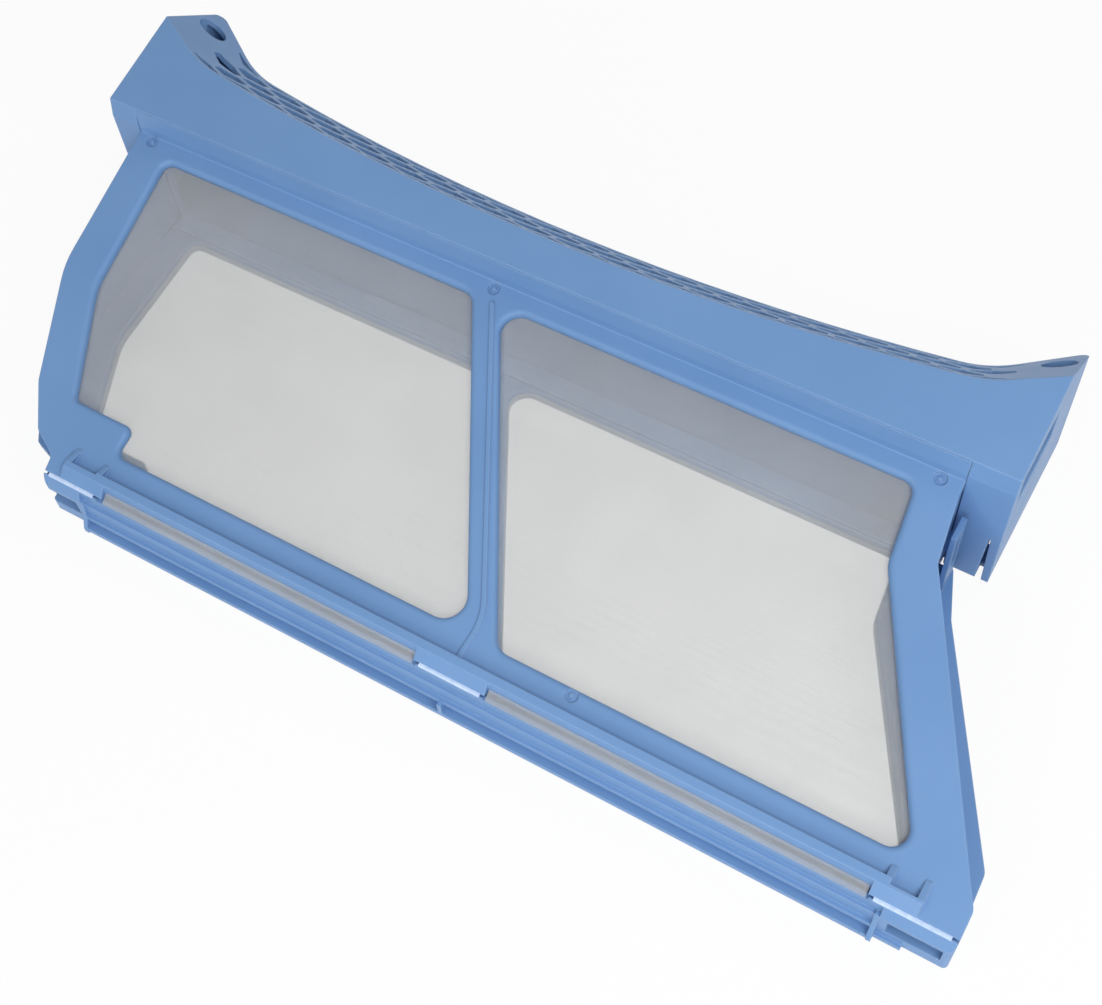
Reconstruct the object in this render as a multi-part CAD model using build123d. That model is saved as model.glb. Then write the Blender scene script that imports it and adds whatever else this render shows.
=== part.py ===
from build123d import *
import math
import os

# Tumble dryer lint filter: a wedge shaped mesh pocket under a curved hood, folding open along its lower edge.
# Sizes are in millimetres. X runs along the hood, Y from the folding edge to the hood, Z up from the table.

# Wedge of the pocket
WEDGE_DEG = 14.04
FRONT_Z = 21.46
FRONT_T = 3.6
BACK_T = 3.0
SOFT_EDGE = 2.2
MESH_T = 0.4
MESH_LAP = 2.5
CLEAR = 0.5
FRAME_CLEAR = 0.15

# Coarse grid of gaps that stands for the weave of each mesh sheet
GRID_ACROSS = 6
GRID_BAR = 9.0
GRID_EDGE = 1.5
GRID_SMALLEST = 30.0

# Outlines in plan, each corner as x, y and its rounding
SEAT_Y = 138.2
FOLD_GAP = 1.2
FRONT_OUTLINE = [
    (-180, SEAT_Y, 0), (-176, 75, 40), (-157, 30, 12), (-145, 13, 8), (-134, 7, 3), (-133, FOLD_GAP, 0),
    (236, FOLD_GAP, 0), (236, 11, 5), (179, 107, 6),
    (175.5, 131, 4), (175.5, SEAT_Y, 0),
]
LEFT_WINDOW = [
    (-163, 129, 4), (-158.6, 72, 30), (-139, 29.5, 4), (-111, 29.5, 3.5), (-111, 17.8, 4),
    (44.9, 17.8, 8), (-18.3, 129, 7),
]
RIGHT_WINDOW = [(-6, 129, 7), (57.7, 17, 7), (212.7, 17, 6), (164, 100, 12), (160.5, 129, 5)]

# Front frame: side walls of the pocket, line on the bar between the windows, marks left by the mould gates
SIDE_WALL_T = 2.2
LEFT_WALL = [(-145, 14), (-157, 30.5), (-176, 75), (-179.7, SEAT_Y)]
RIGHT_WALL = [(233.3, 14), (178.6, 107), (175.2, 131), (175.2, SEAT_Y)]
MULLION_W = 1.8
MULLION_H = 0.8
MULLION_LINE = [(-9.6, 128.5, 0), (47.6, 24.3, 24), (46.3, 7, 0)]
GATE_R = 2.5
GATE_DEPTH = 0.8
GATE_PIN_R = 0.9
GATE_MARKS = [(-172.7, 134.2), (-11, 133.6), (167.4, 133.8), (89.2, 14.4)]

# Back frame
BACK_END_Y = 133.8
BACK_OUTLINE = [
    (-188, BACK_END_Y, 3), (-185.5, 75, 40), (-166.5, 30, 12), (-157.2, 17.2, 1.5),
    (-147, 13.5, 3), (-137, 3, 3),
    (-133, 0, 0), (236, 0, 0), (234.6, 32.5, 6), (188, 114, 6), (180.4, BACK_END_Y, 1),
]
BLOCK_LEFT = -133.0
BLOCK_RIGHT = 236.0
WALL_T = 2.2
WALL_TOP = 19.5
PAD_TOP = 20.9

# Outside of the lower wall: step, ledge and lip one above the other, a plain block at each corner
STEP_Y = -1.4
STEP_Z = 14.7
LEDGE_Y = -3.1
LEDGE_Z = 8.3
LEDGE_T = 2.0
LIP_Y = -5.0
LIP_T = 2.2
CORNER_LENGTH_LEFT = 17.0
CORNER_LENGTH_RIGHT = 25.0
LIP_LEFT = BLOCK_LEFT + CORNER_LENGTH_LEFT
LIP_RIGHT = BLOCK_RIGHT - CORNER_LENGTH_RIGHT
LIP_RIB_X = 45.5
LIP_RIB_T = 1.8
LIP_RIB_Y = -5.5
CORNER_Y = -2.0
CORNER_Z = 16.0
CORNER_R = 1.8
SLOT_LOW = 5.5
SLOT_HIGH = 13.8
SLOTS = [(-140, -118.5), (214, 233.0)]
FOOT = (-3.5, 220.5)

# Folding edge: three thin hinges with mesh strips between them
FOLD_Z = 21.6
HINGES = [(-130.6, -109.6), (35.7, 60.5), (207.0, 233.6)]
STRIPS = [(-106.0, 33.0), (62.0, 205.0)]
STRIP_EDGE = 4.0
STRIP_T = 0.5
FILM_T = 0.6
RAIL_H = 3.0
RAIL_START = 4.7
RAIL_END = 7.9
RIB_T = 2.2
RAMP_ENDS = [7.1, 7.5, 5.9]
GUSSETS = [(-124.6, 6.8, 13.5), (-110.5, 7.6, 12.8), (208.7, 7.6, 12.4), (220.2, 5.6, 13)]

# Hood
HOOD_HALF = 193.0
HOOD_WALL = 2.2
HOOD_Y = 136.0
HOOD_LIFT = 0.6
CREASE_Y = 137.6
CREASE_Z = 66.7
BAND_Z = 58.9
FACE_SLOPE = 0.215
ARC_V = 15.55
ARC_RADIUS = 1075.0
HORN_LENGTH = 33.0
ARC_HALF = HOOD_HALF - HORN_LENGTH
HORN_RADIUS = 45.0
HORN_DEG = 29.0
TIP_R = 2.5
GRILLE_DY = 24.8
GRILLE_DZ = -24.6
FAR_ARC_SHIFT = 7.5
FAR_ARC_HALF = ARC_HALF - FAR_ARC_SHIFT
FAR_HORN_DEG = 34.0
FINGER_HOLE_R = 5.9
FINGER_HOLE_INSET = 7.5
FINGER_HOLE_DOWN = 0.66
MOUTH_EDGE = 5.0
MOUTH_LOW = 5.0
MOUTH_HIGH = 52.0
SEAL_REACH = 6.5
TONGUE_T = 2.6
TONGUE_SLIT = 2.5
TONGUE_SLIT_TOP = 0.5
TONGUE_H = 28.0
END_SLIT_IN = 6.0
END_SLIT_LONG = 32.0
END_SLIT_DROP = 4.7
END_SLIT_H = 16.0
WELL_IN = 14.0
WELL_LONG = 46.0
WELL_WIDE = 7.8

# Honeycomb of the grille
CELL_PITCH = 18.5
WEB = 2.5
EDGE_ROW = 1.3
ROWS = 5
GRILLE_EDGE = 2.2
LAST_CELL = 168.0

# Side clips
LEFT_LOOP = -183.0
RIGHT_LOOP = 178.2
LOOP_T = 2.0
LOOP_RIM = 2.6
LOOP_LOW = 123.0
LOOP_HIGH = 133.0
LOOP_FOOT = 14.0
LOOP_TOP = 39.5
NUB = (126.0, 130.0, 25.5, 32.5)
NUB_GAP = 0.4

WEDGE = math.radians(WEDGE_DEG)
FACE_TILT = math.atan(FACE_SLOPE)
GRILLE_WIDTH = math.hypot(GRILLE_DY, GRILLE_DZ)
ROW_PITCH = (GRILLE_WIDTH - 2 * EDGE_ROW) / (ROWS - 1)
BEYOND = BLOCK_RIGHT + HOOD_WALL
FRONT_PLANE = Plane((0, 0, FRONT_Z), (1, 0, 0), (0, -math.sin(WEDGE), math.cos(WEDGE)))
FACE_PLANE = Plane((0, CREASE_Y, CREASE_Z), (1, 0, 0), (0, -math.sin(FACE_TILT), math.cos(FACE_TILT)))


def front_z(y):
    """Height of the front frame's outer face."""
    return FRONT_Z + y * math.tan(WEDGE)


def rounded_face(corners):
    """Flat face through the corners, each rounded to its own radius."""
    count = len(corners)
    ends = []
    for i in range(count):
        x, y, radius = corners[i]
        here = Vector(x, y)
        before = (Vector(*corners[i - 1][:2]) - here).normalized()
        after = (Vector(*corners[(i + 1) % count][:2]) - here).normalized()
        half = math.acos(max(-1.0, min(1.0, before.dot(after)))) / 2
        if radius == 0:
            ends.append((here, None, here))
            continue
        reach = radius / math.tan(half)
        inward = (before + after).normalized()
        middle = here + inward * (radius / math.sin(half) - radius)
        ends.append((here + before * reach, middle, here + after * reach))
    edges = []
    for i in range(count):
        start, middle, stop = ends[i]
        if middle is not None:
            edges.append(ThreePointArc(start, middle, stop))
        edges.append(Line(stop, ends[(i + 1) % count][0]))
    return make_face(Wire(edges))


def on_front(corners):
    """Plan corners as corners on the sloping front plane."""
    return [(x, y / math.cos(WEDGE), radius) for x, y, radius in corners]


def section(points, left, right):
    """Bar along X between two places, from its outline as y and z."""
    plane = Plane((left, 0, 0), (0, 1, 0), (1, 0, 0))
    return extrude(plane * make_face(Polyline(*points, close=True)), right - left)


def block(x0, x1, y0, y1, z0, z1):
    """Box between three pairs of limits."""
    return Pos((x0 + x1) / 2, (y0 + y1) / 2, (z0 + z1) / 2) * Box(x1 - x0, y1 - y0, z1 - z0)


def side_wall(points, thickness):
    """Upright wall along a plan line, from above the back frame to inside the front plate."""
    inner = [(x + thickness, y) for x, y in reversed(points)]
    slab = extrude(Plane.XY.offset(BACK_T + CLEAR) * make_face(Polyline(*points, *inner, close=True)), 80)
    low = points[0][1] - 1
    high = points[-1][1] + 1
    room = [(low, 0), (high, 0), (high, front_z(high) - 1), (low, front_z(low) - 1)]
    return slab & section(room, -BEYOND, BEYOND)


def mesh_outline(window):
    """Window outline widened by the lap of the mesh."""
    return offset(rounded_face(window), MESH_LAP, kind=Kind.ARC)


def woven_outline(window):
    """Mesh outline with square gaps inside the window."""
    inside = offset(rounded_face(window), -GRID_EDGE, kind=Kind.ARC)
    limits = inside.bounding_box()
    middle = limits.center()
    step = limits.size.X / GRID_ACROSS
    rows = round(limits.size.Y / step)
    bars = []
    for i in range(1, GRID_ACROSS):
        bars.append(Pos(limits.min.X + i * step, middle.Y) * Rectangle(GRID_BAR, 2 * limits.size.Y))
    for j in range(1, rows):
        bar_y = limits.min.Y + j * limits.size.Y / rows
        bars.append(Pos(middle.X, bar_y) * Rectangle(2 * limits.size.X, GRID_BAR))
    gaps = [face for face in (inside - bars).faces() if face.area > GRID_SMALLEST]
    return mesh_outline(window) - gaps


def front_sheet(outline):
    """Sheet in the rebate on the inner side of the front frame."""
    return extrude(FRONT_PLANE.offset(-FRONT_T) * outline, MESH_T)


def back_sheet(outline):
    """Sheet in the rebate on the inner side of the back frame."""
    return extrude(Plane.XY.offset(BACK_T - MESH_T) * outline, MESH_T)


def softened_windows(plate, normal):
    """Plate with the outer edge of each window rounded."""
    faces = [face for face in plate.faces() if face.normal_at().dot(normal) > 0.999]
    outer = max(faces, key=lambda face: face.area)
    edges = [edge for wire in outer.inner_wires() for edge in wire.edges()]
    return fillet(edges, SOFT_EDGE)


def hinge_ramp(left, right, end):
    """Raised plate that runs from the rail down to a folding hinge."""
    return section([
        (FOLD_GAP, FOLD_Z - 0.5), (FOLD_GAP, FOLD_Z + 0.15), (RAIL_START, front_z(RAIL_START) + RAIL_H),
        (end, front_z(end) + RAIL_H), (end, front_z(end) - 1), (FOLD_GAP + 2, front_z(FOLD_GAP + 2) - 2),
    ], left, right)


def gusset(x, start, end):
    """Sloping rib behind a hinge plate."""
    return section([
        (start, front_z(start) - 1), (start, front_z(start) + RAIL_H), (end, front_z(end) + 0.4),
        (end, front_z(end) - 1),
    ], x - RIB_T / 2, x + RIB_T / 2)


def front_frame():
    """Front leaf: soft-edged windows, side walls of the pocket, rail, hinge plates and clip nubs."""
    plate = extrude(FRONT_PLANE * rounded_face(on_front(FRONT_OUTLINE)), -FRONT_T)
    for window in (LEFT_WINDOW, RIGHT_WINDOW):
        plate -= extrude(FRONT_PLANE.offset(1) * rounded_face(on_front(window)), -FRONT_T - 2)
    plate = softened_windows(plate, FRONT_PLANE.z_dir)
    for window in (LEFT_WINDOW, RIGHT_WINDOW):
        plate -= front_sheet(mesh_outline(on_front(window)))
    end_low = front_z(SEAT_Y) - 6
    end_high = front_z(SEAT_Y) + 20
    plate -= section(
        [(SEAT_Y, end_low), (SEAT_Y + 9, end_low), (SEAT_Y + 9, end_high), (SEAT_Y, end_high)],
        -BEYOND, BEYOND)
    for left, right in STRIPS:
        plate -= block(left, right, 0, STRIP_EDGE, WALL_TOP / 2, 2 * WALL_TOP)
    wall_room = WALL_T + FOLD_GAP + 1
    plate -= section([
        (-1, 0), (wall_room, 0), (wall_room, WALL_TOP - 0.9), (FOLD_GAP, FOLD_Z - 0.5), (-1, FOLD_Z - 0.5),
    ], -BEYOND, BEYOND)

    plate += side_wall(LEFT_WALL, SIDE_WALL_T)
    plate += side_wall(RIGHT_WALL, -SIDE_WALL_T)

    band = [
        (SEAT_Y - 1.8, front_z(SEAT_Y) - 1), (SEAT_Y - 1.8, BAND_Z), (CREASE_Y - 0.4, CREASE_Z - 0.6),
        (SEAT_Y, CREASE_Z - 0.6), (SEAT_Y, front_z(SEAT_Y) - 2),
    ]
    plate += section(band, FRONT_OUTLINE[0][0], FRONT_OUTLINE[-1][0])

    rail = [
        (STRIP_EDGE, front_z(STRIP_EDGE) - 1), (STRIP_EDGE, front_z(STRIP_EDGE) + 0.4),
        (RAIL_START, front_z(RAIL_START) + RAIL_H), (RAIL_END, front_z(RAIL_END) + RAIL_H),
        (RAIL_END, front_z(RAIL_END) - 1),
    ]
    plate += section(rail, GUSSETS[1][0] - RIB_T / 2, GUSSETS[2][0] + RIB_T / 2)
    ramps = [
        (GUSSETS[0][0] - RIB_T / 2, STRIPS[0][0]), (STRIPS[0][1], STRIPS[1][0]),
        (STRIPS[1][1], GUSSETS[3][0] + RIB_T / 2),
    ]
    for (left, right), end in zip(ramps, RAMP_ENDS):
        plate += hinge_ramp(left, right, end)
    for x, start, end in GUSSETS:
        plate += gusset(x, start, end)

    plate += mullion_rib()
    for x, y in GATE_MARKS:
        spot = FRONT_PLANE * Pos(x, y / math.cos(WEDGE))
        plate -= spot * Cylinder(GATE_R, 2 * GATE_DEPTH)
        plate += spot * Pos(0, 0, -0.5) * Cylinder(GATE_PIN_R, 1.2)
    y0, y1, z0, z1 = NUB
    nub = [(y0, z0), (y1, z0), (y1, z1), (y0, z1)]
    plate += section(nub, RIGHT_WALL[-1][0] - 0.7, RIGHT_LOOP - NUB_GAP)
    plate += section(nub, LEFT_LOOP + LOOP_T + NUB_GAP, LEFT_WALL[-1][0] + 1.7)
    return plate


def mullion_rib():
    """Raised line along the slanting bar between the windows."""
    line = on_front(MULLION_LINE)
    shifted = [(x + MULLION_W, y, radius) for x, y, radius in reversed(line)]
    return extrude(FRONT_PLANE.offset(-0.5) * rounded_face(line + shifted), MULLION_H + 0.5)


def clip_loop(x):
    """Upright loop that catches the nub of the front leaf."""
    loop = block(x, x + LOOP_T, LOOP_LOW, LOOP_HIGH, 1, LOOP_TOP)
    return loop - block(
        x - 1, x + LOOP_T + 1, LOOP_LOW + LOOP_RIM, LOOP_HIGH - LOOP_RIM, LOOP_FOOT, LOOP_TOP - 2 * LOOP_RIM)


def corner_block(left, right, end):
    """Thick corner of the folding edge, rounded at its outer end."""
    shape = section([
        (0.5, 0), (0.5, PAD_TOP), (0, PAD_TOP), (CORNER_Y, CORNER_Z), (CORNER_Y, 0),
    ], left, right)
    outer = [
        edge for edge in shape.edges().filter_by(Axis.Z)
        if abs(edge.center().X - end) < 0.1 and abs(edge.center().Y - CORNER_Y) < 0.1
    ]
    return fillet(outer, CORNER_R)


def lip_rib(x):
    """Upright rib at an end of the lip."""
    return section([
        (0.5, 0), (LIP_RIB_Y, 0), (LIP_RIB_Y, LIP_T), (LEDGE_Y, LEDGE_Z),
        (CORNER_Y, CORNER_Z), (0.5, CORNER_Z),
    ], x - LIP_RIB_T / 2, x + LIP_RIB_T / 2)


def back_frame():
    """Back leaf: plate with windows, lower wall with ledges and slots, clip loops, edge under the seal."""
    plate = extrude(rounded_face(BACK_OUTLINE), BACK_T)
    for window in (LEFT_WINDOW, RIGHT_WINDOW):
        plate -= extrude(Plane.XY.offset(-1) * rounded_face(window), BACK_T + 2)
        plate -= back_sheet(mesh_outline(window))
    plate += block(BLOCK_LEFT, BLOCK_RIGHT, 0, WALL_T, 0, WALL_TOP)
    plate += block(LIP_LEFT, LIP_RIGHT, LIP_Y, 0.5, 0, LIP_T)
    plate += block(LIP_LEFT, LIP_RIGHT, LEDGE_Y, 0.5, LEDGE_Z - LEDGE_T, LEDGE_Z)
    plate += block(LIP_LEFT, LIP_RIGHT, STEP_Y, 0.5, 0, STEP_Z)
    for left, right in HINGES:
        plate += section([
            (0, WALL_TOP - 3), (WALL_T, WALL_TOP - 3), (WALL_T, WALL_TOP), (0.6, PAD_TOP), (0, PAD_TOP),
        ], left - 1.5, right + 1.5)
    plate += corner_block(BLOCK_LEFT, LIP_LEFT, BLOCK_LEFT)
    plate += corner_block(LIP_RIGHT, BLOCK_RIGHT, BLOCK_RIGHT)
    plate += block(LIP_RIGHT, FOOT[1], FOOT[0], 0.5, 0, LIP_T)
    plate += lip_rib(LIP_LEFT + LIP_RIB_T / 2)
    plate += lip_rib(LIP_RIGHT - LIP_RIB_T / 2)
    plate += block(LIP_RIB_X - LIP_RIB_T / 2, LIP_RIB_X + LIP_RIB_T / 2, LIP_Y, 0.5, 0, LEDGE_Z)
    for left, right in SLOTS:
        plate -= block(left, right, CORNER_Y - 1, WALL_T + 1, SLOT_LOW, SLOT_HIGH)
    plate += clip_loop(RIGHT_LOOP)
    plate += clip_loop(LEFT_LOOP)
    under_seal = (BACK_END_Y - 2, SEAT_Y - CLEAR)
    plate += block(FRONT_OUTLINE[0][0] + 1, FRONT_OUTLINE[-1][0] - CLEAR, *under_seal, 0, BACK_T)
    return plate


def hinge_film(span):
    """Thin folding hinge from the lower wall to the edge of the front leaf."""
    left, right = span
    top = FOLD_Z + 0.15
    return section([
        (0, PAD_TOP), (FILM_T, PAD_TOP), (FOLD_GAP, top - FILM_T), (FOLD_GAP, top),
        (0.5, FOLD_Z + 0.1), (0, FOLD_Z - 0.3),
    ], left, right)


def strip_mesh(span):
    """Mesh strip over the gap between two folding hinges."""
    left, right = span
    lift = front_z(STRIP_EDGE) - 0.1
    return section([
        (0.1, WALL_TOP), (0.2 + STRIP_T, WALL_TOP), (STRIP_EDGE, lift - STRIP_T), (STRIP_EDGE, lift),
    ], left + CLEAR, right - CLEAR)


def horn_start(arc_half, horn_deg):
    """Place along X where the bend of the grille's edge ends and its straight horn begins."""
    return arc_half + HORN_RADIUS * (math.sin(math.radians(horn_deg)) - arc_half / ARC_RADIUS)


def edge_at(x, arc_half, horn_deg):
    """Reach and slope of an edge of the grille: a shallow arc, a bend and a straight horn at each end."""
    x = abs(x)
    turn = math.asin(min(x, arc_half) / ARC_RADIUS)
    v = ARC_V + ARC_RADIUS * (1 - math.cos(turn))
    start = horn_start(arc_half, horn_deg)
    if x <= arc_half:
        return v, math.tan(turn)
    bend = math.asin(math.sin(turn) + (min(x, start) - arc_half) / HORN_RADIUS)
    v += HORN_RADIUS * (math.cos(turn) - math.cos(bend))
    return v + max(0, x - start) * math.tan(bend), math.tan(bend)


def near_at(x):
    """Reach and slope of the front edge of the grille."""
    return edge_at(x, ARC_HALF, HORN_DEG)


def far_at(x):
    """Reach and slope of the back edge of the grille."""
    return edge_at(x, FAR_ARC_HALF, FAR_HORN_DEG)


def grille_edge(half, arc_half, horn_deg):
    """Points of an edge of the grille from one tip to the other."""
    start = horn_start(arc_half, horn_deg)
    places = [arc_half, (arc_half + start) / 2, start, half]
    right = [(x, edge_at(x, arc_half, horn_deg)[0]) for x in places]
    left = [(-x, v) for x, v in reversed(right)]
    return left + [(0, ARC_V)] + right


def hood_outline(points, low):
    """Face between a straight lower edge and the curved edge of the hood."""
    edges = [
        Line(points[0], points[1]),
        ThreePointArc(points[1], points[2], points[3]),
        ThreePointArc(points[3], points[4], points[5]),
        ThreePointArc(points[5], points[6], points[7]),
        Line(points[7], points[8]),
        Polyline(points[8], (points[8][0], low), (points[0][0], low), points[0]),
    ]
    return make_face(Wire([edge for group in edges for edge in group.edges()]))


def under_grille(half):
    """All that lies under the hood face and in front of the grille, which leans back towards the horns."""
    reach = 3
    low = -90
    near = grille_edge(half, ARC_HALF, HORN_DEG)
    far = grille_edge(half, FAR_ARC_HALF, FAR_HORN_DEG)
    deep = [(a + reach * (b - a), v + reach * (w - v)) for (a, v), (b, w) in zip(near, far)]
    deep_face = Pos(0, reach * GRILLE_DY, reach * GRILLE_DZ) * (FACE_PLANE * hood_outline(deep, low))
    return loft([FACE_PLANE * hood_outline(near, low), deep_face], ruled=True)


def inward_step():
    """Shift in y and z that sets both the hood face and the grille back by one."""
    face = (-math.sin(FACE_TILT), math.cos(FACE_TILT))
    grille = (-GRILLE_DZ / GRILLE_WIDTH, GRILLE_DY / GRILLE_WIDTH)
    size = face[0] * grille[1] - face[1] * grille[0]
    return (face[1] - grille[1]) / size, (grille[0] - face[0]) / size


def hood_body(half, low_y, wall, floor):
    """Solid hood, shrunk by a wall thickness on its curved sides."""
    far = grille_edge(half, FAR_ARC_HALF, FAR_HORN_DEG)
    plan = [(x, CREASE_Y + v * math.cos(FACE_TILT) + GRILLE_DY - wall) for x, v in far]
    upright = extrude(Plane.XY.offset(floor) * hood_outline(plan, low_y), 120)
    tips = [edge for edge in upright.edges().filter_by(Axis.Z) if edge.center().Y > plan[-1][1] - 0.1]
    back, down = inward_step()
    return fillet(tips, TIP_R - wall) & (Pos(0, back * wall, down * wall) * under_grille(half))


def place_on_grille(x, share):
    """Plane on the grille at a place along X and a share of the way down its slope."""
    near, near_slope = near_at(x)
    far, far_slope = far_at(x)
    fall = Vector(0, GRILLE_DY, GRILLE_DZ) + FACE_PLANE.y_dir * (far - near)
    slope = math.copysign(near_slope + share * (far_slope - near_slope), x)
    along = (FACE_PLANE.x_dir + FACE_PLANE.y_dir * slope).normalized()
    origin = FACE_PLANE.from_local_coords(Vector(x, near, 0)) + fall * share
    return Plane(origin, along, along.cross(fall))


def cell_outline(low, high):
    """Long hexagon of one cell, cut off at the rims of the grille."""
    half = CELL_PITCH / 2 - WEB / 2
    slope = math.atan(ROW_PITCH / 3 / (CELL_PITCH / 2))
    peak = 2 * ROW_PITCH / 3 - WEB / 2 / math.cos(slope)
    shoulder = peak - half * math.tan(slope)
    points = []
    if low > -shoulder:
        points += [(-half, low), (half, low)]
    else:
        points += [(-half, -shoulder), (0, -peak), (half, -shoulder)]
    if high < shoulder:
        points += [(half, high), (-half, high)]
    else:
        points += [(half, shoulder), (0, peak), (-half, shoulder)]
    return make_face(Polyline(*points, close=True))


def honeycomb():
    """Cutters for all cells of the grille."""
    cutters = []
    for row in range(ROWS):
        down = EDGE_ROW + row * ROW_PITCH
        cell = cell_outline(GRILLE_EDGE - down, GRILLE_WIDTH - GRILLE_EDGE - down)
        shift = 0.0 if row % 2 == 0 else 0.5
        for step in range(-9, 10):
            x = (step + shift) * CELL_PITCH
            if abs(x) > LAST_CELL:
                continue
            cutters.append(extrude(place_on_grille(x, down / GRILLE_WIDTH) * cell, 5, both=True))
    return cutters


def tongue_slit(side, front, back):
    """Tapering slit that frees the spring tongue at an end of the hood."""
    outer = HOOD_HALF - TONGUE_T
    middle = outer - TONGUE_SLIT / 2
    half = TONGUE_SLIT_TOP / 2
    points = [(outer - TONGUE_SLIT, -1), (outer, -1), (middle + half, TONGUE_H), (middle - half, TONGUE_H)]
    face = make_face(Polyline(*[(side * x, z) for x, z in points], close=True))
    return extrude(Plane((0, back, 0), (1, 0, 0), (0, -1, 0)) * face, back - front)


def hood():
    """Hood: closed box with a curved honeycomb grille, finger holes and a spring tongue at each end."""
    shape = hood_body(HOOD_HALF, HOOD_Y, 0, HOOD_LIFT)
    inner_y = SEAT_Y + HOOD_WALL
    shape -= hood_body(HOOD_HALF - HOOD_WALL, inner_y, HOOD_WALL, HOOD_LIFT + HOOD_WALL)
    frame_left = FRONT_OUTLINE[0][0] - FRAME_CLEAR
    frame_right = FRONT_OUTLINE[-1][0] + FRAME_CLEAR
    mouth_left = frame_left + MOUTH_EDGE
    mouth_right = frame_right - MOUTH_EDGE
    top = CREASE_Z + 20
    shape -= section([
        (HOOD_Y - 1, BAND_Z), (HOOD_Y, BAND_Z), (CREASE_Y, CREASE_Z), (CREASE_Y, top), (HOOD_Y - 1, top),
    ], -BEYOND, BEYOND)
    shape -= block(frame_left, frame_right, HOOD_Y - 1, SEAT_Y, -1, CREASE_Z - 0.6)
    shape -= block(mouth_left, mouth_right, HOOD_Y, inner_y + 1, MOUTH_LOW, MOUTH_HIGH)
    shape += block(mouth_left, mouth_right, SEAT_Y - SEAL_REACH, SEAT_Y + 1, BACK_T + CLEAR, MOUTH_LOW)
    slit_y = HOOD_Y + END_SLIT_IN
    slit_z = CREASE_Z - END_SLIT_DROP
    well_y = HOOD_Y + WELL_IN
    for side in (-1, 1):
        far = HOOD_HALF * side
        shape -= tongue_slit(side, HOOD_Y - 1, inner_y + 1)
        gap = sorted((far + side, far - side * (HOOD_WALL + CLEAR)))
        shape -= block(gap[0], gap[1], slit_y, slit_y + END_SLIT_LONG, slit_z - END_SLIT_H, slit_z)
        hole = place_on_grille(side * (HOOD_HALF - FINGER_HOLE_INSET), FINGER_HOLE_DOWN)
        upright = Plane(hole.origin, (1, 0, 0), (0, hole.z_dir.Y, hole.z_dir.Z))
        shape -= upright * Cylinder(FINGER_HOLE_R, 14)
    well_right = HOOD_HALF - HOOD_WALL
    shape -= block(
        well_right - WELL_WIDE, well_right, well_y, well_y + WELL_LONG, -1, HOOD_LIFT + HOOD_WALL + 1)
    return shape - honeycomb()


def save(name, shape):
    """Centre the piece on the whole part and write it."""
    far, slope = far_at(HOOD_HALF)
    tip = CREASE_Y + far * math.cos(FACE_TILT) + GRILLE_DY
    horn = math.atan(slope * math.cos(FACE_TILT))
    tip -= TIP_R * (math.tan(horn) + 1 / math.cos(horn) - 1)
    middle_x = (BLOCK_RIGHT - HOOD_HALF) / 2
    middle_y = (tip + LIP_RIB_Y) / 2
    export_step(Pos(-middle_x, -middle_y, 0) * shape, f"parts/{name}.step")


os.makedirs("parts", exist_ok=True)
save("hood", hood())
save("front_frame", front_frame())
save("back_frame", back_frame())
for name, window in (("left", LEFT_WINDOW), ("right", RIGHT_WINDOW)):
    save(f"front_mesh_{name}", front_sheet(woven_outline(on_front(window))))
    save(f"back_mesh_{name}", back_sheet(woven_outline(window)))
for name, span in zip(("left", "middle", "right"), HINGES):
    save(f"hinge_film_{name}", hinge_film(span))
for name, span in zip(("left", "right"), STRIPS):
    save(f"hinge_mesh_{name}", strip_mesh(span))
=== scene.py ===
import math
import random

import bpy
from mathutils import Matrix, Vector


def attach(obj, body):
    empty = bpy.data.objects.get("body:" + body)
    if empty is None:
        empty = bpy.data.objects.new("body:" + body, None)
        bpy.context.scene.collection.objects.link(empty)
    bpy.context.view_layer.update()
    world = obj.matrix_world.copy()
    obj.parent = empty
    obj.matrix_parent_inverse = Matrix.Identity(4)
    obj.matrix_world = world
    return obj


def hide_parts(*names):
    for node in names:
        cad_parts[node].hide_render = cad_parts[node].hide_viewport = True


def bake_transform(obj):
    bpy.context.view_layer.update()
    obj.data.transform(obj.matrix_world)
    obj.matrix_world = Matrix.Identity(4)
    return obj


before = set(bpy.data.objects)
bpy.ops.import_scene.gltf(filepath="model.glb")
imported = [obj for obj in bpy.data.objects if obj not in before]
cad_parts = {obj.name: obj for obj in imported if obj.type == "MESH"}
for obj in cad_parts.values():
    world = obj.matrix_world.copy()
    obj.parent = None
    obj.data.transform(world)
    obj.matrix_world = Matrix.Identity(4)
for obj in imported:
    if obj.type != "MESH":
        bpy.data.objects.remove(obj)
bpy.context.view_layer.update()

# Sizes in millimetres, in the plan that the moulds were drawn in
MIDDLE_X = 21.5
MIDDLE_Y = 100.9939
WEDGE = math.radians(14.04)
FRONT_Z = 21.46
FRONT_T = 3.6
BACK_T = 3.0
MESH_T = 0.4
CLOTH_GAP = 0.1
FRONT_LAP = 2.4
BACK_LAP = 0.5
FOLD_Z = 21.6
PAD_TOP = 20.9
FOLD_GAP = 1.2
WALL_TOP = 19.5
STRIP_EDGE = 4.0
HINGES = {"left": (-130.6, -109.6), "middle": (35.7, 60.5), "right": (207.0, 233.6)}
STRIPS = {"left": (-105.5, 32.5), "right": (62.5, 204.5)}
LEFT_WINDOW = [
    (-163, 129, 4), (-158.6, 72, 30), (-139, 29.5, 4), (-111, 29.5, 3.5), (-111, 17.8, 4),
    (44.9, 17.8, 8), (-18.3, 129, 7),
]
RIGHT_WINDOW = [(-6, 129, 7), (57.7, 17, 7), (212.7, 17, 6), (164, 100, 12), (160.5, 129, 5)]
WINDOWS = {"left": LEFT_WINDOW, "right": RIGHT_WINDOW}
CORNER_STEPS = 8

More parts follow.
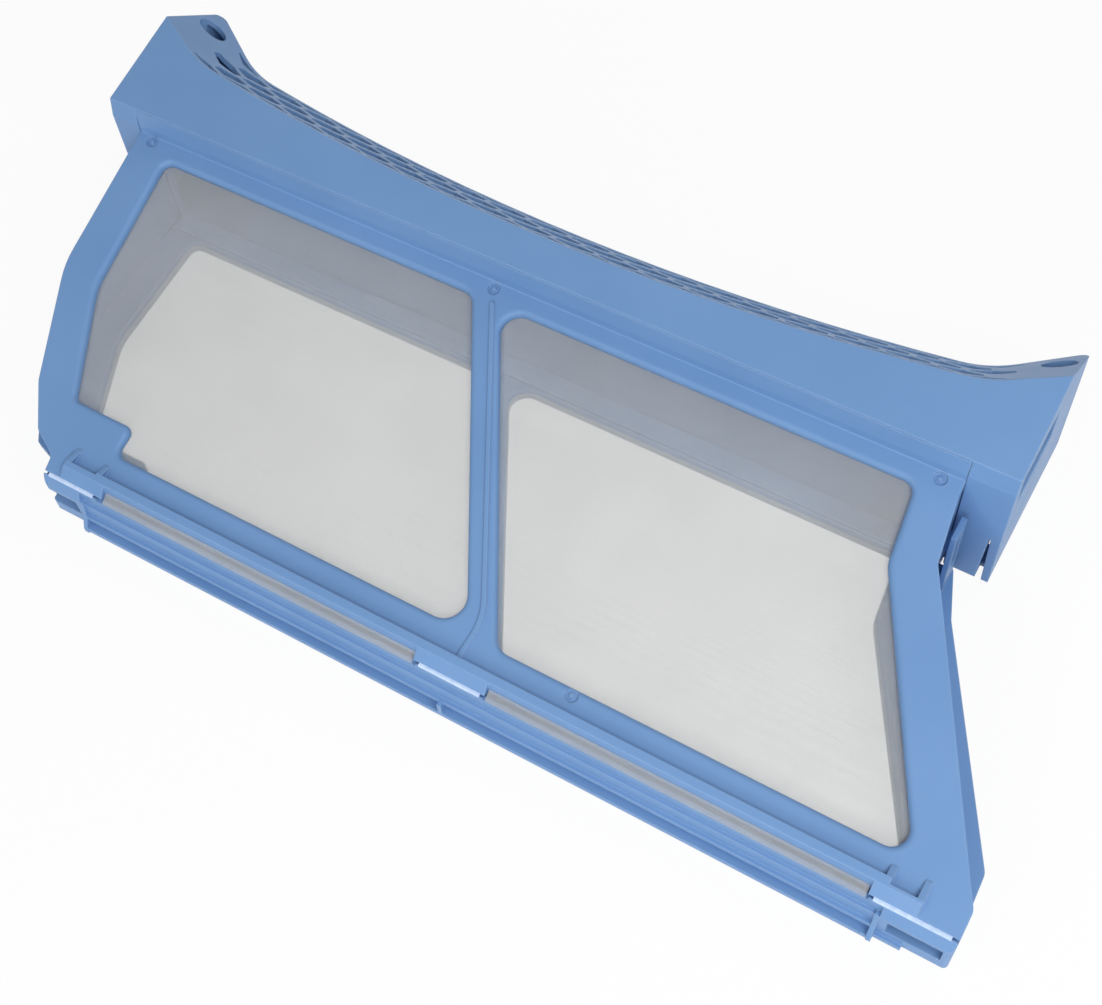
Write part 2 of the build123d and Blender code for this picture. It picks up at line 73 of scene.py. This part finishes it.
# Both faces of a hinge film, from its foot on the back leaf to its head on the front leaf, as y and z
FILM_OUTER = [
    (-0.02, PAD_TOP - 0.2), (-0.02, PAD_TOP + 0.2), (0.06, FOLD_Z - 0.28), (0.2, FOLD_Z - 0.08),
    (0.45, FOLD_Z + 0.08), (0.8, FOLD_Z + 0.15), (FOLD_GAP + 0.06, FOLD_Z + 0.18),
]
FILM_INNER = [
    (0.4, PAD_TOP - 0.2), (0.42, PAD_TOP), (0.46, PAD_TOP + 0.1), (0.56, PAD_TOP + 0.18),
    (0.72, PAD_TOP + 0.24), (0.95, PAD_TOP + 0.28), (FOLD_GAP + 0.06, PAD_TOP + 0.3),
]
FILM_COLUMNS = 9

# Lower and upper edge of the cloth strips along the fold, as y and z
STRIP_FOOT = (0.35, WALL_TOP + 0.02)
STRIP_HEAD = (STRIP_EDGE - 0.03, FRONT_Z + STRIP_EDGE * math.tan(WEDGE) - 0.3)
STRIP_STEPS = 6

# Weave of the filter cloth: pitch and width of the threads in each leaf
WEAVES = {"front": (0.3, 0.06), "back": (0.22, 0.042)}
THREAD_T = 0.05
THREAD_STRAY = 0.05
SEEDS = {"front": 11, "back": 21, "fold": 31}

# Looks of the moulded plastic, with lengths in metres
BLUE_TONES = ((0.142, 0.277, 0.522), (0.159, 0.300, 0.553))
CLOUD_SCALE = 22
SHEEN_SCALE = 60
ROUGH_LOW = 0.36
ROUGH_HIGH = 0.5
PLASTIC_SHINE = 0.3
GRAIN_SCALE = 2600
GRAIN_STRENGTH = 0.06
GRAIN_DEPTH = 0.0002
EDGE_RADIUS = 0.0007
# Painted highlight along the moulded edges: its colour, how much of it shows, and where it begins and
# is full
EDGE_HIGHLIGHT_BLUE = (0.34, 0.52, 0.80)
EDGE_HIGHLIGHT_SHARE = 0.55
EDGE_HIGHLIGHT_BEGINS = 0.995
EDGE_HIGHLIGHT_FULL = 0.9

# Looks of the hinge films and the threads
# The films' tones are much paler than the walls: a painted highlight along the fold
FILM_HIGHLIGHT_TONES = ((0.42, 0.56, 0.84), (0.58, 0.71, 0.91))
FILM_SCALE = 400
FILM_ROUGHNESS = 0.22
THREAD_TONES = ((0.65, 0.66, 0.65), (0.71, 0.72, 0.71))
THREAD_SCALE = 35
THREAD_ROUGHNESS = 0.45
TONE_STOPS = (0.3, 0.7)

# Studio, in metres: each lamp has its place, the point it faces, its size and its power
LAMPS = {
    "key": ((0.6, -0.35, 0.8), (0.03, 0.0, 0.03), 0.6, 5.2),
    "fill": ((0.55, 0.85, 1.0), (0, 0, 0.03), 0.8, 3),
    "front": ((0.25, -1.3, 0.5), (0.02, 0.0, 0.03), 0.8, 6.5),
    "edge": ((-0.5, -0.9, 1.0), (0, 0, 0.03), 0.25, 2.5),
}
WORLD_STRENGTH = 0.3
FLOOR_HALF = 4
FLOOR_Z = -0.0004
FLOOR_GREY = 0.86
FLOOR_ROUGHNESS = 0.9
FLOOR_WHITE = 0.92

# Camera fitted to the photograph: angles in degrees, eye in millimetres along the camera's own axes
CAMERA_AZIMUTH = 35.19
CAMERA_HEIGHT = 58.07
CAMERA_ROLL = -5.89
EYE_SIDE = 75.92
EYE_TOP = 53.56
EYE_BACK = 609.95
FOCAL_PIXELS = 1673.19
PHOTO_PIXELS = 1102
SENSOR_WIDTH = 36


def row(x, y, z):
    """A point of the plan, in metres about the middle of the part."""
    return Vector(((x - MIDDLE_X) / 1000, (y - MIDDLE_Y) / 1000, z / 1000))


def front_spot(x, v, lift):
    """A point on the sloping front plane, lifted along its normal."""
    y = v * math.cos(WEDGE) - lift * math.sin(WEDGE)
    z = FRONT_Z + v * math.sin(WEDGE) + lift * math.cos(WEDGE)
    return row(x, y, z)


def mesh_piece(name, points, faces, material):
    """Plain mesh object at the origin."""
    mesh = bpy.data.meshes.new(name)
    mesh.from_pydata([tuple(p) for p in points], [], faces)
    mesh.materials.append(material)
    mesh.update()
    piece = bpy.data.objects.new(name, mesh)
    bpy.context.scene.collection.objects.link(piece)
    return piece


# Materials

def new_material(name):
    """A material with its nodes, its links and its main shader."""
    material = bpy.data.materials.new(name)
    material.use_nodes = True
    nodes = material.node_tree.nodes
    return material, nodes, material.node_tree.links, nodes["Principled BSDF"]


def noise(nodes, links, coordinates, scale, detail):
    """Soft noise from 0 to 1."""
    texture = nodes.new("ShaderNodeTexNoise")
    texture.inputs["Scale"].default_value = scale
    texture.inputs["Detail"].default_value = detail
    links.new(coordinates, texture.inputs["Vector"])
    return texture.outputs["Fac"]


def two_tones(nodes, links, factor, tones):
    """Colour that goes from a dark tone to a light one as the factor grows."""
    ramp = nodes.new("ShaderNodeValToRGB")
    for element, stop, tone in zip(ramp.color_ramp.elements, TONE_STOPS, tones):
        element.position = stop
        element.color = (*tone, 1)
    links.new(factor, ramp.inputs["Fac"])
    return ramp.outputs["Color"]


def spread(nodes, links, factor, low, high):
    """The factor stretched to run from one value to another."""
    stretch = nodes.new("ShaderNodeMapRange")
    stretch.inputs["To Min"].default_value = low
    stretch.inputs["To Max"].default_value = high
    links.new(factor, stretch.inputs["Value"])
    return stretch.outputs["Result"]


def painted_edge_highlight(nodes, links, normal, colour):
    """The colour, made paler along moulded edges: a painted highlight where the rounded edges catch the
    light.
    """
    flat = nodes.new("ShaderNodeNewGeometry").outputs["Normal"]
    likeness = nodes.new("ShaderNodeVectorMath")
    likeness.operation = "DOT_PRODUCT"
    links.new(flat, likeness.inputs[0])
    links.new(normal, likeness.inputs[1])
    edge = nodes.new("ShaderNodeMapRange")
    edge.inputs["From Min"].default_value = EDGE_HIGHLIGHT_BEGINS
    edge.inputs["From Max"].default_value = EDGE_HIGHLIGHT_FULL
    edge.inputs["To Max"].default_value = EDGE_HIGHLIGHT_SHARE
    links.new(likeness.outputs["Value"], edge.inputs["Value"])
    mix = nodes.new("ShaderNodeMix")
    mix.data_type = "RGBA"
    links.new(edge.outputs["Result"], mix.inputs["Factor"])
    links.new(colour, mix.inputs["A"])
    mix.inputs["B"].default_value = (*EDGE_HIGHLIGHT_BLUE, 1)
    return mix.outputs["Result"]


def moulded_blue():
    """Satin polypropylene: soft cloudy blue, fine spark-eroded grain, slightly rounded edges and a
    painted highlight along them.
    """
    material, nodes, links, shader = new_material("moulded_blue")
    place = nodes.new("ShaderNodeTexCoord").outputs["Object"]
    blue = two_tones(nodes, links, noise(nodes, links, place, CLOUD_SCALE, 3), BLUE_TONES)
    sheen = noise(nodes, links, place, SHEEN_SCALE, 4)
    links.new(spread(nodes, links, sheen, ROUGH_LOW, ROUGH_HIGH), shader.inputs["Roughness"])
    rounded = nodes.new("ShaderNodeBevel")
    rounded.samples = 4
    rounded.inputs["Radius"].default_value = EDGE_RADIUS
    # Base colour with a painted highlight along the moulded edges
    links.new(painted_edge_highlight(nodes, links, rounded.outputs["Normal"], blue), shader.inputs["Base Color"])
    grain = nodes.new("ShaderNodeBump")
    grain.inputs["Strength"].default_value = GRAIN_STRENGTH
    grain.inputs["Distance"].default_value = GRAIN_DEPTH
    links.new(noise(nodes, links, place, GRAIN_SCALE, 2), grain.inputs["Height"])
    links.new(rounded.outputs["Normal"], grain.inputs["Normal"])
    links.new(grain.outputs["Normal"], shader.inputs["Normal"])
    shader.inputs["Specular IOR Level"].default_value = PLASTIC_SHINE
    return material


def toned_material(name, scale, tones, roughness):
    """Plain material in two tones that a noise mixes."""
    material, nodes, links, shader = new_material(name)
    place = nodes.new("ShaderNodeTexCoord").outputs["Object"]
    mixed = two_tones(nodes, links, noise(nodes, links, place, scale, 3), tones)
    links.new(mixed, shader.inputs["Base Color"])
    shader.inputs["Roughness"].default_value = roughness
    return material


def film_painted_highlight():
    """Thin plastic at the fold: painted paler than the walls as a painted highlight along the fold, and
    shinier than the walls.
    """
    return toned_material("film_painted_highlight", FILM_SCALE, FILM_HIGHLIGHT_TONES, FILM_ROUGHNESS)


def nylon_thread():
    """Off-white monofilament of the woven cloth."""
    return toned_material("nylon_thread", THREAD_SCALE, THREAD_TONES, THREAD_ROUGHNESS)


# Filter cloth

def rounded_outline(corners):
    """Dense points along an outline whose corners are rounded."""
    points = []
    count = len(corners)
    for i in range(count):
        x, y, radius = corners[i]
        here = Vector((x, y))
        before = (Vector(corners[i - 1][:2]) - here).normalized()
        after = (Vector(corners[(i + 1) % count][:2]) - here).normalized()
        half = before.angle(after) / 2
        centre = here + (before + after).normalized() * (radius / math.sin(half))
        reach = radius / math.tan(half)
        start = here + before * reach - centre
        turn = start.angle_signed(here + after * reach - centre)
        for step in range(CORNER_STEPS + 1):
            angle = -turn * step / CORNER_STEPS
            spin = Vector((start.x * math.cos(angle) - start.y * math.sin(angle),
                           start.x * math.sin(angle) + start.y * math.cos(angle)))
            points.append(centre + spin)
    return points


def signed_area(points):
    """Area of an outline, above zero if it runs anticlockwise."""
    pairs = zip(points[-1:] + points[:-1], points)
    return sum(a.x * b.y - b.x * a.y for a, b in pairs) / 2


def widened(points, lap):
    """The outline moved outwards."""
    side = math.copysign(1, signed_area(points))
    moved = []
    for i in range(len(points)):
        along = points[(i + 1) % len(points)] - points[i - 1]
        moved.append(points[i] + Vector((along.y, -along.x)).normalized() * lap * side)
    return moved


def outline_area(points):
    """Area inside an outline."""
    return abs(signed_area(points))


def crossings(points, axis, value):
    """Where the line at one value of an axis runs inside the outline, as pairs of limits."""
    other = 1 - axis
    hits = []
    for i in range(len(points)):
        a = points[i - 1]
        b = points[i]
        if (a[axis] > value) != (b[axis] > value):
            share = (value - a[axis]) / (b[axis] - a[axis])
            hits.append(a[other] + share * (b[other] - a[other]))
    hits.sort()
    return list(zip(hits[0::2], hits[1::2]))


def add_thread(points, faces, spot, axis, value, half, start, end, lift):
    """One straight thread as a slim closed bar."""
    first = len(points)
    for run in (start, end):
        for across, up in ((-half, 0), (half, 0), (half, THREAD_T), (-half, THREAD_T)):
            flat = [0, 0]
            flat[axis] = value + across
            flat[1 - axis] = run
            points.append(spot(flat[0], flat[1], lift + up))
    order = ((0, 1, 2, 3), (7, 6, 5, 4), (0, 4, 5, 1), (1, 5, 6, 2), (2, 6, 7, 3), (3, 7, 4, 0))
    if axis == 0:
        order = tuple(tuple(reversed(face)) for face in order)
    faces.extend(tuple(first + k for k in face) for face in order)


def woven_cloth(name, outline, weave, spot, low, material, seed):
    """Open plain weave cut to an outline: threads both ways, one layer on the other."""
    chance = random.Random(seed)
    pitch, width = weave
    points = []
    faces = []
    for axis, lift in ((0, low), (1, low + THREAD_T)):
        values = [p[axis] for p in outline]
        value = min(values) + pitch / 2
        while value < max(values):
            place = value + chance.uniform(-THREAD_STRAY, THREAD_STRAY) * pitch
            for start, end in crossings(outline, axis, place):
                add_thread(points, faces, spot, axis, place, width / 2, start, end, lift)
            value += pitch
    return mesh_piece(name, points, faces, material)


def window_cloth(side, leaf, material, seed):
    """Cloth in one window of one leaf."""
    corners = WINDOWS[side]
    node = f"{leaf}_mesh_{side}"
    if leaf == "front":
        corners = [(x, y / math.cos(WEDGE), radius) for x, y, radius in corners]
        spot = front_spot
        low = -FRONT_T + CLOTH_GAP
        lap = FRONT_LAP
    else:
        spot = row
        low = BACK_T - MESH_T + CLOTH_GAP
        lap = BACK_LAP
    outline = widened(rounded_outline(corners), lap)
    cloth = woven_cloth(f"{leaf}_cloth_{side}", outline, WEAVES[leaf], spot, low, material, seed)
    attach(cloth, f"{leaf}_leaf")
    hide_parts(node)
    outline_area(outline) / 1e6


# Folding edge

def fold_film(side, material):
    """Curved thin hinge film along the fold."""
    left, right = HINGES[side]
    points = []
    for column in range(FILM_COLUMNS):
        x = left + (right - left) * column / (FILM_COLUMNS - 1)
        points.extend(row(x, y, z) for y, z in FILM_OUTER + FILM_INNER)
    count = len(FILM_OUTER)
    both = 2 * count
    ring = list(range(count)) + [both - 1 - k for k in range(count)]
    faces = []
    for column in range(FILM_COLUMNS - 1):
        base = column * both
        for k in range(both):
            a = ring[k]
            b = ring[(k + 1) % both]
            faces.append((base + a, base + b, base + both + b, base + both + a))
    last = (FILM_COLUMNS - 1) * both
    for k in range(count - 1):
        faces.append((k, count + k, count + k + 1, k + 1))
        faces.append((last + k, last + k + 1, last + count + k + 1, last + count + k))
    film = mesh_piece(f"fold_film_{side}", points, faces, material)
    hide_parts(f"hinge_film_{side}")
    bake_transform(film)


def add_bar(points, faces, rings):
    """A closed bar through rings of four points."""
    first = len(points)
    points.extend(p for ring in rings for p in ring)
    for k in range(len(rings) - 1):
        base = first + 4 * k
        for a, b in ((0, 1), (1, 2), (2, 3), (3, 0)):
            faces.append((base + a, base + b, base + 4 + b, base + 4 + a))
    last = first + 4 * (len(rings) - 1)
    faces.append((first + 3, first + 2, first + 1, first))
    faces.append((last, last + 1, last + 2, last + 3))


def strip_cloth(side, material, seed):
    """Cloth strip over the gap between two hinges."""
    left, right = STRIPS[side]
    chance = random.Random(seed)
    pitch, width = WEAVES["front"]
    half = width / 2
    foot = Vector(STRIP_FOOT)
    head = Vector(STRIP_HEAD)
    along = head - foot
    thick = Vector((-along.y, along.x)).normalized() * THREAD_T
    points = []
    faces = []
    x = left + pitch / 2
    while x < right:
        place = x + chance.uniform(-THREAD_STRAY, THREAD_STRAY) * pitch
        rings = []
        for step in range(STRIP_STEPS + 1):
            p = foot + along * (step / STRIP_STEPS)
            q = p + thick
            rings.append([row(place - half, p.x, p.y), row(place + half, p.x, p.y),
                          row(place + half, q.x, q.y), row(place - half, q.x, q.y)])
        add_bar(points, faces, rings)
        x += pitch
    run = pitch / 2
    while run < along.length:
        a = foot + along.normalized() * (run - half) + thick
        b = foot + along.normalized() * (run + half) + thick
        section = (a, a + thick, b + thick, b)
        add_bar(points, faces, [[row(end, p.x, p.y) for p in section] for end in (left, right)])
        run += pitch
    cloth = mesh_piece(f"fold_cloth_{side}", points, faces, material)
    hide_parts(f"hinge_mesh_{side}")
    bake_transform(cloth)


# Studio

def lamp(name, place, target, size, power):
    """Round area lamp that faces a point."""
    light = bpy.data.lights.new(name, "AREA")
    light.shape = "DISK"
    light.size = size
    light.energy = power
    thing = bpy.data.objects.new(name, light)
    thing.location = place
    thing.rotation_euler = (Vector(target) - Vector(place)).to_track_quat("-Z", "Y").to_euler()
    bpy.context.scene.collection.objects.link(thing)


def white_for_camera(nodes, links, shader, output, share):
    """Shows plain white to the camera and to reflections, and the real surface to everything else."""
    path = nodes.new("ShaderNodeLightPath")
    either = nodes.new("ShaderNodeMath")
    either.operation = "MAXIMUM"
    links.new(path.outputs["Is Camera Ray"], either.inputs[0])
    links.new(path.outputs["Is Glossy Ray"], either.inputs[1])
    amount = nodes.new("ShaderNodeMath")
    amount.operation = "MULTIPLY"
    amount.inputs[1].default_value = share
    links.new(either.outputs[0], amount.inputs[0])
    glow = nodes.new("ShaderNodeEmission")
    glow.inputs["Strength"].default_value = 1.0
    mix = nodes.new("ShaderNodeMixShader")
    links.new(amount.outputs[0], mix.inputs["Fac"])
    links.new(shader.outputs[0], mix.inputs[1])
    links.new(glow.outputs[0], mix.inputs[2])
    links.new(mix.outputs[0], output.inputs["Surface"])


def studio():
    """White surroundings, a paper floor and the lamps."""
    scene = bpy.context.scene
    world = bpy.data.worlds.new("studio")
    scene.world = world
    world.use_nodes = True
    nodes = world.node_tree.nodes
    back = nodes["Background"]
    back.inputs["Color"].default_value = (1, 1, 1, 1)
    back.inputs["Strength"].default_value = WORLD_STRENGTH
    white_for_camera(nodes, world.node_tree.links, back, nodes["World Output"], 1.0)

    paper, nodes, links, shader = new_material("paper_floor")
    shader.inputs["Base Color"].default_value = (FLOOR_GREY, FLOOR_GREY, FLOOR_GREY, 1)
    shader.inputs["Roughness"].default_value = FLOOR_ROUGHNESS
    white_for_camera(nodes, links, shader, nodes["Material Output"], FLOOR_WHITE)
    corners = ((-1, -1), (1, -1), (1, 1), (-1, 1))
    points = [(x * FLOOR_HALF, y * FLOOR_HALF, FLOOR_Z) for x, y in corners]
    floor = mesh_piece("floor", points, [(0, 1, 2, 3)], paper)

    for name, setting in LAMPS.items():
        lamp(name, *setting)
    scene.view_settings.view_transform = "Standard"


def photo_camera():
    """Camera at the photograph's viewing angle."""
    azimuth = math.radians(CAMERA_AZIMUTH)
    height = math.radians(CAMERA_HEIGHT)
    roll = math.radians(CAMERA_ROLL)
    level = math.cos(height)
    back = Vector((math.sin(azimuth) * level, -math.cos(azimuth) * level, math.sin(height)))
    right = Vector((math.cos(azimuth), math.sin(azimuth), 0))
    up = back.cross(right)
    side = right * math.cos(roll) + up * math.sin(roll)
    top = up * math.cos(roll) - right * math.sin(roll)
    eye = side * EYE_SIDE + top * EYE_TOP + back * EYE_BACK
    lens = bpy.data.cameras.new("photo_camera")
    lens.sensor_fit = "HORIZONTAL"
    lens.sensor_width = SENSOR_WIDTH
    lens.lens = FOCAL_PIXELS / PHOTO_PIXELS * SENSOR_WIDTH
    lens.clip_start = 0.01
    thing = bpy.data.objects.new("photo_camera", lens)
    bpy.context.scene.collection.objects.link(thing)
    turn = Matrix((side, top, back)).transposed().to_4x4()
    thing.matrix_world = Matrix.Translation(row(*eye)) @ turn
    bpy.context.scene.camera = thing


def dress(names, material):
    """Gives the moulded pieces their material."""
    for name in names:
        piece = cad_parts[name]
        for holder in piece.material_slots:
            holder.material = material


plastic = moulded_blue()
# Hinge film material, whose pale tone is a painted highlight along the fold
film = film_painted_highlight()
thread = nylon_thread()
dress(("hood", "front_frame", "back_frame"), plastic)
for number, side in enumerate(("left", "right")):
    window_cloth(side, "front", thread, SEEDS["front"] + number)
    window_cloth(side, "back", thread, SEEDS["back"] + number)
    strip_cloth(side, thread, SEEDS["fold"] + number)
for side in HINGES:
    fold_film(side, film)
studio()
photo_camera()
